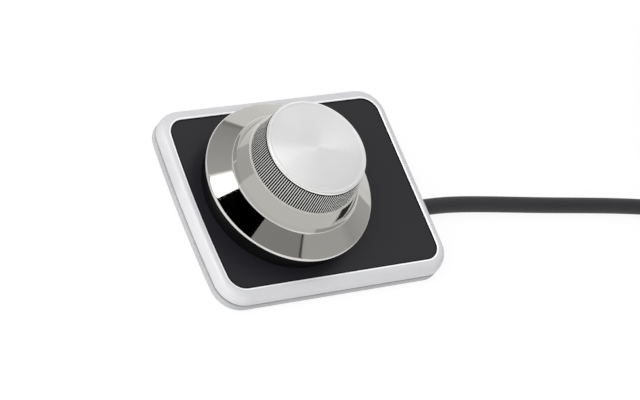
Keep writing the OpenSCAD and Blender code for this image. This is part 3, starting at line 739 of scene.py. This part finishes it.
def new_group(name, inputs, outputs):
    group = bpy.data.node_groups.new(name, "ShaderNodeTree")
    for label, value in inputs:
        socket = group.interface.new_socket(label, in_out="INPUT", socket_type="NodeSocketFloat")
        socket.default_value = value
    for label in outputs:
        group.interface.new_socket(label, in_out="OUTPUT", socket_type="NodeSocketFloat")
    return group, put(group, "NodeGroupInput"), put(group, "NodeGroupOutput")


def make_grain():
    """Fine grain over the surface, and the slow drift that handling and moulding leave."""
    group, given, out = new_group(
        "surface_grain", [("Grain Scale", 2500), ("Drift Scale", 70)], ["Tone", "Drift", "Height"],
    )
    place = put(group, "ShaderNodeTexCoord").outputs["Object"]
    fine = put(group, "ShaderNodeTexNoise", {
        "Vector": place, "Scale": given.outputs["Grain Scale"], "Detail": 3, "Roughness": 0.6,
    })
    slow = put(group, "ShaderNodeTexNoise", {
        "Vector": place, "Scale": given.outputs["Drift Scale"],
        "Detail": 4, "Roughness": 0.55, "Distortion": 0.4,
    })
    drift = put(group, "ShaderNodeMapRange", {
        "Value": slow.outputs["Fac"], "From Min": 0.3, "From Max": 0.7,
    })
    group.links.new(fine.outputs["Fac"], out.inputs["Height"])
    group.links.new(drift.outputs["Result"], out.inputs["Drift"])
    both = sums(group, "ADD", fine.outputs["Fac"], drift.outputs["Result"])
    group.links.new(sums(group, "MULTIPLY", both, 0.5), out.inputs["Tone"])
    return group


def make_rings():
    """Fine lines that a lathe leaves round the knob's axis."""
    group, given, out = new_group("turned_rings", [("Pitch", 0.0002)], ["Line", "Band"])
    place = put(group, "ShaderNodeTexCoord").outputs["Object"]
    apart = put(group, "ShaderNodeSeparateXYZ", {"Vector": place})
    x = sums(group, "SUBTRACT", apart.outputs["X"], AXIS.x)
    y = sums(group, "SUBTRACT", apart.outputs["Y"], AXIS.y)
    square = sums(group, "ADD", sums(group, "MULTIPLY", x, x), sums(group, "MULTIPLY", y, y))
    r = sums(group, "SQRT", square)
    steps = sums(group, "DIVIDE", r, given.outputs["Pitch"])
    line = put(group, "ShaderNodeTexNoise", {"W": steps, "Scale": 1, "Detail": 2}, noise_dimensions="1D")
    band = put(group, "ShaderNodeTexNoise", {"W": steps, "Scale": 0.08, "Detail": 2}, noise_dimensions="1D")
    group.links.new(line.outputs["Fac"], out.inputs["Line"])
    group.links.new(band.outputs["Fac"], out.inputs["Band"])
    return group


def make_weave():
    """Threads that cross over and under along the strap."""
    group, given, out = new_group("strap_weave", [("Thread", 0.0006)], ["Tone", "Height"])
    place = put(group, "ShaderNodeTexCoord").outputs["Object"]
    apart = put(group, "ShaderNodeSeparateXYZ", {"Vector": place})
    turn = sums(group, "DIVIDE", math.pi, given.outputs["Thread"])
    across = sums(group, "SINE", sums(group, "MULTIPLY", apart.outputs["X"], turn))
    length = sums(group, "ADD", apart.outputs["Y"], apart.outputs["Z"])
    along = sums(group, "SINE", sums(group, "MULTIPLY", length, turn))
    cross = sums(group, "MULTIPLY", across, along)
    height = put(group, "ShaderNodeMapRange", {"Value": cross, "From Min": -1, "From Max": 1})
    fluff = put(group, "ShaderNodeTexNoise", {"Vector": place, "Scale": 900, "Detail": 4})
    both = sums(group, "ADD", height.outputs["Result"], fluff.outputs["Fac"])
    group.links.new(height.outputs["Result"], out.inputs["Height"])
    group.links.new(sums(group, "MULTIPLY", both, 0.5), out.inputs["Tone"])
    return group


GRAIN = make_grain()
RINGS = make_rings()
WEAVE = make_weave()


def new_finish(name, metallic=0.0, specular=0.5):
    material = bpy.data.materials.new(name)
    material.use_nodes = True
    shader = material.node_tree.nodes["Principled BSDF"]
    shader.inputs["Metallic"].default_value = metallic
    shader.inputs["Specular IOR Level"].default_value = specular
    return material, material.node_tree, shader


def tone_between(tree, shader, dark, light, share):
    sockets = {MIX_FACTOR: share, MIX_A: (*dark, 1), MIX_B: (*light, 1)}
    mix = put(tree, "ShaderNodeMix", sockets, data_type="RGBA")
    tree.links.new(mix.outputs[MIX_RESULT], shader.inputs["Base Color"])


def rough_between(tree, shader, low, high, share):
    spread = put(tree, "ShaderNodeMapRange", {"Value": share, "To Min": low, "To Max": high})
    tree.links.new(spread.outputs["Result"], shader.inputs["Roughness"])


def bump_from(tree, shader, height, strength, distance):
    bump = put(tree, "ShaderNodeBump", {"Height": height, "Strength": strength, "Distance": distance})
    tree.links.new(bump.outputs["Normal"], shader.inputs["Normal"])


def grained(
    name, dark, light, rough, grain=2500, drift=70, bump=0.15, depth=0.02, metallic=0.0, specular=0.5,
):
    """A finish whose tone, roughness and bump follow the surface grain."""
    material, tree, shader = new_finish(name, metallic, specular)
    surface = put(tree, "ShaderNodeGroup", node_tree=GRAIN)
    surface.inputs["Grain Scale"].default_value = grain
    surface.inputs["Drift Scale"].default_value = drift
    tone_between(tree, shader, dark, light, surface.outputs["Tone"])
    rough_between(tree, shader, *rough, surface.outputs["Drift"])
    if bump:
        bump_from(tree, shader, surface.outputs["Height"], bump, depth * MM)
    return material


def lathe_turned(name, dark, light, rough, pitch, bump, metallic=1.0, anisotropy=0.0):
    """Turned metal: its lines run round the knob's axis, with faint bands and handling marks."""
    material, tree, shader = new_finish(name, metallic)
    lines = put(tree, "ShaderNodeGroup", node_tree=RINGS)
    lines.inputs["Pitch"].default_value = pitch * MM
    surface = put(tree, "ShaderNodeGroup", node_tree=GRAIN)
    surface.inputs["Drift Scale"].default_value = 110
    tone_between(tree, shader, dark, light, lines.outputs["Band"])
    rough_between(tree, shader, *rough, surface.outputs["Drift"])
    bump_from(tree, shader, lines.outputs["Line"], bump, 0.01 * MM)
    if anisotropy:
        shader.inputs["Anisotropic"].default_value = anisotropy
        shader.inputs["Anisotropic Rotation"].default_value = 0.25
        way = put(tree, "ShaderNodeTangent", direction_type="RADIAL", axis="Z")
        tree.links.new(way.outputs["Tangent"], shader.inputs["Tangent"])
    return material


def woven(name, dark, light):
    material, tree, shader = new_finish(name, 0.0, 0.2)
    threads = put(tree, "ShaderNodeGroup", node_tree=WEAVE)
    tone_between(tree, shader, dark, light, threads.outputs["Tone"])
    rough_between(tree, shader, 0.75, 0.95, threads.outputs["Tone"])
    bump_from(tree, shader, threads.outputs["Height"], 0.6, 0.15 * MM)
    shader.inputs["Sheen Weight"].default_value = 0.3
    return material


def clear_plastic(name):
    material, tree, shader = new_finish(name)
    surface = put(tree, "ShaderNodeGroup", node_tree=GRAIN)
    surface.inputs["Drift Scale"].default_value = 300
    tone_between(tree, shader, (0.86, 0.88, 0.89), (0.95, 0.96, 0.97), surface.outputs["Drift"])
    rough_between(tree, shader, 0.06, 0.14, surface.outputs["Drift"])
    shader.inputs["Transmission Weight"].default_value = 1
    shader.inputs["IOR"].default_value = 1.57
    return material


def dress(material, *nodes):
    """Gives CAD nodes that stay in view their finish."""
    for node in nodes:
        slots = NODES[node].data.materials
        slots.clear()
        slots.append(material)


# Stage and light

def seen_or_mirrored(tree):
    """One for what the camera, metal and glass see, and nought for the light on the object."""
    path = put(tree, "ShaderNodeLightPath")
    seen = sums(tree, "MAXIMUM", path.outputs["Is Camera Ray"], path.outputs["Is Glossy Ray"])
    return sums(tree, "MAXIMUM", seen, path.outputs["Is Transmission Ray"])


def round_from(tree, place, centre):
    """Degrees round a centre in plan, from minus X."""
    apart = put(tree, "ShaderNodeSeparateXYZ", {"Vector": place})
    back_x = sums(tree, "SUBTRACT", centre.x, apart.outputs["X"])
    back_y = sums(tree, "SUBTRACT", centre.y, apart.outputs["Y"])
    return sums(tree, "DEGREES", sums(tree, "ARCTAN2", back_y, back_x))


def within(tree, value, low, high):
    """One where the value lies between low and high, and nought elsewhere."""
    over = sums(tree, "GREATER_THAN", value, low)
    return sums(tree, "MULTIPLY", over, sums(tree, "LESS_THAN", value, high))


def mixed(tree, share, first, second):
    sockets = {MIX_FACTOR: share, VALUE_A: first, VALUE_B: second}
    return put(tree, "ShaderNodeMix", sockets, data_type="FLOAT").outputs[VALUE_RESULT]


# A pale floor just under the part, and a grey card that lies on it at the left, which only reflections show
FLOOR_HALF, FLOOR_Z = 1.5, -0.0005
FLOOR_TONE, FLOOR_ROUGH, FLOOR_WHITE = 0.85, 0.9, 0.9
CARD_FROM, CARD_TO, CARD_GREY = -60, -14, 0.3


def make_floor():
    """A floor that the camera, metal and glass see nearly white, and that keeps the object's shadow."""
    corners = [(x * FLOOR_HALF, y * FLOOR_HALF, FLOOR_Z) for x, y in ((-1, -1), (1, -1), (1, 1), (-1, 1))]
    mesh = mesh_from("floor", corners, [(0, 1, 2, 3)])
    floor = add_object("floor", mesh)
    material, tree, shader = new_finish("pale_floor")
    shader.inputs["Base Color"].default_value = (FLOOR_TONE, FLOOR_TONE, FLOOR_TONE, 1)
    shader.inputs["Roughness"].default_value = FLOOR_ROUGH
    place = put(tree, "ShaderNodeTexCoord").outputs["Object"]
    mirrored = put(tree, "ShaderNodeLightPath").outputs["Is Glossy Ray"]
    card = within(tree, round_from(tree, place, AXIS), CARD_FROM, CARD_TO)
    on_card = sums(tree, "MULTIPLY", card, mirrored)
    level = sums(tree, "SUBTRACT", 1, sums(tree, "MULTIPLY", on_card, CARD_GREY))
    white = put(tree, "ShaderNodeEmission", {"Strength": level}).outputs["Emission"]
    share = sums(tree, "MULTIPLY", seen_or_mirrored(tree), FLOOR_WHITE)
    mix = put(tree, "ShaderNodeMixShader", {0: share, 1: shader.outputs["BSDF"], 2: white})
    tree.links.new(mix.outputs["Shader"], tree.nodes["Material Output"].inputs["Surface"])
    mesh.materials.append(material)


# Studio walls, as (degrees round from minus X, light level), set by measure to suit the photograph
WALLS = [
    (-180, 0.59), (-172, 0.6), (-163, 0.7), (-155, 0.82), (-147, 0.96), (-100.7, 1.0),
    (-99.7, 0.27), (-96, 0.43), (-83, 0.5), (-66, 0.56), (-53, 0.62),
    (-47, 3.6), (-45, 4.0), (-28, 4.0), (-27.2, 0.85), (44, 0.85), (44.6, 0.376),
    (110.3, 0.36), (110.6, 0.01), (112.4, 0.01), (112.7, 0.6), (122, 0.61), (154, 0.6),
    (162, 0.5), (172, 0.55), (180, 0.59),
]
WALL_MOST = 4.0

# A black flag over the camera, the sweep of the floor up the walls, its part that is as grey as the card,
# and the ceiling, in degrees round and up
FLAG_FROM, FLAG_TO, FLAG_LOW, FLAG_HIGH = -27.2, 44.4, 50, 74
SWEEP_FROM, SWEEP_TO, SWEEP_HIGH, SWEEP = -51, 116, 43, 0.97
SHADE_TO = -20
CEILING_FROM, CEILING_TO, CEILING = 70, 78, 1.3


def make_world():
    """Studio walls that light the part and show in its metal. The camera and clear plastic see white."""
    scene = bpy.context.scene
    scene.view_settings.view_transform = "Standard"
    world = bpy.data.worlds.new("studio")
    scene.world = world
    world.use_nodes = True
    tree = world.node_tree
    back = tree.nodes["Background"]
    look = put(tree, "ShaderNodeTexCoord").outputs["Generated"]
    apart = put(tree, "ShaderNodeSeparateXYZ", {"Vector": look})
    round_about = round_from(tree, look, Vector((0, 0)))
    above = sums(tree, "DEGREES", sums(tree, "ARCSINE", apart.outputs["Z"]))
    spread = put(tree, "ShaderNodeMapRange", {"Value": round_about, "From Min": -180, "From Max": 180})
    ramp = put(tree, "ShaderNodeValToRGB", {"Fac": spread.outputs["Result"]})
    stops = ramp.color_ramp.elements
    while len(stops) < len(WALLS):
        stops.new(1)
    for stop, (degrees, level) in zip(stops, WALLS):
        stop.position = (degrees + 180) / 360
        grey = level / WALL_MOST
        stop.color = (grey, grey, grey, 1)
    walls = sums(tree, "MULTIPLY", ramp.outputs["Color"], WALL_MOST)
    low_down = sums(tree, "LESS_THAN", above, SWEEP_HIGH)
    sweep_at = sums(tree, "MULTIPLY", within(tree, round_about, SWEEP_FROM, SWEEP_TO), low_down)
    shaded = sums(tree, "MULTIPLY", within(tree, round_about, SWEEP_FROM, SHADE_TO), SWEEP * CARD_GREY)
    sweep = sums(tree, "SUBTRACT", SWEEP, shaded)
    swept = mixed(tree, sweep_at, walls, sweep)
    flag_up = within(tree, above, FLAG_LOW, FLAG_HIGH)
    flag_at = sums(tree, "MULTIPLY", within(tree, round_about, FLAG_FROM, FLAG_TO), flag_up)
    lit = sums(tree, "MULTIPLY", swept, sums(tree, "SUBTRACT", 1, flag_at))
    rise = {"Value": above, "From Min": CEILING_FROM, "From Max": CEILING_TO}
    both = mixed(tree, put(tree, "ShaderNodeMapRange", rise).outputs["Result"], lit, CEILING)
    path = put(tree, "ShaderNodeLightPath")
    seen = sums(tree, "MAXIMUM", path.outputs["Is Camera Ray"], path.outputs["Is Transmission Ray"])
    tree.links.new(mixed(tree, seen, both, 1), back.inputs["Strength"])
    back.inputs["Color"].default_value = (1, 1, 1, 1)


def make_lamp(name, place, aim, size, power):
    data = bpy.data.lights.new(name, "AREA")
    data.shape = "SQUARE"
    data.size = size
    data.energy = power
    lamp = add_object(name, data)
    lamp.location = place
    lamp.rotation_euler = (Vector(aim) - Vector(place)).to_track_quat("-Z", "Y").to_euler()
    lamp.visible_camera = False
    lamp.visible_glossy = False


# The part, camera and cord first

make_camera()
jacket = grained(
    "cable_jacket", (0.013, 0.013, 0.0145), (0.022, 0.022, 0.0245), (0.42, 0.55),
    grain=900, drift=45, bump=0.1, specular=0.32,
)
lead = make_cord(jacket)
strap_web = woven("strap_web", (0.008, 0.008, 0.009), (0.03, 0.03, 0.032))
strap, strap_end = make_strap(strap_web)
boot = make_boot(jacket)
plug = make_plug(clear_plastic("clear_plug"))

# Black painted as shade in the knurl's grooves and the cap's neck, and along the lip and inner wall round the
# panel
painted_shade_black = grained("painted_shade_black", (0.003, 0.003, 0.003), (0.008, 0.008, 0.008), (0.5, 0.7), specular=0.1)
make_frame(
    grained(
        "satin_silver", (0.535, 0.535, 0.55), (0.59, 0.59, 0.605), (0.36, 0.44),
        grain=3500, bump=0.08, metallic=0.25,
    ),
    # The cut edge's much lighter tone is its painted highlight
    grained("edge_painted_highlight", (0.86, 0.86, 0.87), (0.9, 0.9, 0.91), (0.3, 0.4), bump=0, metallic=0.3),
    painted_shade_black,
    # The seam's grey is its painted shadow
    grained("seam_painted_shade", (0.12, 0.12, 0.125), (0.16, 0.16, 0.165), (0.5, 0.6), specular=0.2),
)
make_plinth(grained(
    "plinth_black", (0.002, 0.002, 0.0024), (0.004, 0.004, 0.0045), (0.35, 0.5), specular=0.18,
))
make_skirt(
    grained(
        "warm_chrome", (0.5, 0.488, 0.458), (0.52, 0.508, 0.478), (0.025, 0.06),
        drift=50, bump=0, metallic=1.0,
    ),
    # Lighter metal painted on the rim and crease as their highlights
    grained("rim_painted_highlight", (0.74, 0.73, 0.71), (0.79, 0.78, 0.76), (0.25, 0.34), bump=0, metallic=1.0),
    grained("turned_ledge", (0.5, 0.49, 0.46), (0.55, 0.54, 0.51), (0.3, 0.4), bump=0, metallic=0.2),
    # A darker copy of the chrome, painted on the barrel as shade
    grained(
        "barrel_chrome_painted_shade", (0.435, 0.425, 0.4), (0.455, 0.445, 0.42), (0.025, 0.06),
        drift=50, bump=0, metallic=1.0,
    ),
)
make_cap(
    lathe_turned(
        "bright_knurl", (0.9, 0.9, 0.88), (0.95, 0.95, 0.93), (0.32, 0.4), pitch=0.15, bump=0.05,
    ),
    painted_shade_black,
    lathe_turned(
        "spun_top", (0.81, 0.81, 0.81), (0.84, 0.84, 0.84), (0.46, 0.52),
        pitch=0.12, bump=0.1, metallic=0.8, anisotropy=0.8,
    ),
)
make_bush(grained("grommet_rubber", (0.014, 0.014, 0.015), (0.024, 0.024, 0.025), (0.55, 0.7)))
make_pad(grained(
    "pad_rubber", (0.012, 0.012, 0.012), (0.028, 0.028, 0.028), (0.8, 0.95), grain=1800, bump=0.5, depth=0.06,
))

dress(grained(
    "panel_charcoal", (0.011, 0.0105, 0.0135), (0.014, 0.0135, 0.0167), (0.34, 0.42),
    bump=0.25, specular=0.25,
), "face_panel")
# The base plate's silver is painted darker than the frame's, as shade along the plate's foot
dress(grained(
    "base_silver_painted_shade", (0.37, 0.37, 0.38), (0.43, 0.43, 0.44), (0.5, 0.6), grain=3000, specular=0.2,
), "base_plate")
dress(grained(
    "zinc_plate", (0.5, 0.5, 0.5), (0.66, 0.66, 0.65), (0.24, 0.4), grain=1500, drift=240, metallic=1.0,
), "base_screws", "plinth_screws", "pot_case", "pot_terminals", "pot_washer", "shaft_ring", "hub_clip")
dress(lathe_turned(
    "turned_brass", (0.68, 0.5, 0.2), (0.8, 0.62, 0.3), (0.18, 0.32), pitch=0.2, bump=0.2,
), "pot_bushing", "pot_nut")
dress(grained(
    "gold_flash", (0.78, 0.58, 0.22), (0.9, 0.7, 0.34), (0.14, 0.26), drift=400, metallic=1.0,
), "plug_contacts")
dress(lathe_turned(
    "turned_shaft", (0.68, 0.68, 0.68), (0.8, 0.8, 0.8), (0.22, 0.36), pitch=0.2, bump=0.15,
), "pot_shaft")
dress(grained(
    "solder_mask", (0.014, 0.1, 0.04), (0.028, 0.15, 0.07), (0.25, 0.4), grain=1200, drift=160,
), "circuit_board")
dress(grained(
    "brown_laminate", (0.14, 0.06, 0.02), (0.24, 0.11, 0.04), (0.45, 0.6), grain=700, drift=200,
), "pot_track")
dress(grained(
    "natural_nylon", (0.66, 0.63, 0.55), (0.78, 0.75, 0.67), (0.4, 0.55), grain=1400, drift=150,
), "pot_wiper", "lead_tie")
dress(grained(
    "moulded_black", (0.02, 0.02, 0.02), (0.035, 0.035, 0.035), (0.42, 0.6), grain=1600,
), "knob_hub")
dress(grained(
    "red_insulation", (0.36, 0.03, 0.025), (0.5, 0.06, 0.05), (0.35, 0.5), drift=200,
), "wire_leads")

# The hank lies where the knob would mirror it, which the photograph doesn't show
for piece in (lead, strap, strap_end, boot, plug):
    piece.visible_glossy = False

make_floor()
make_world()
make_lamp("soft_light", place=(-0.74, -0.16, 0.82), aim=(0, 0, 0), size=0.9, power=11)

bpy.context.view_layer.update()
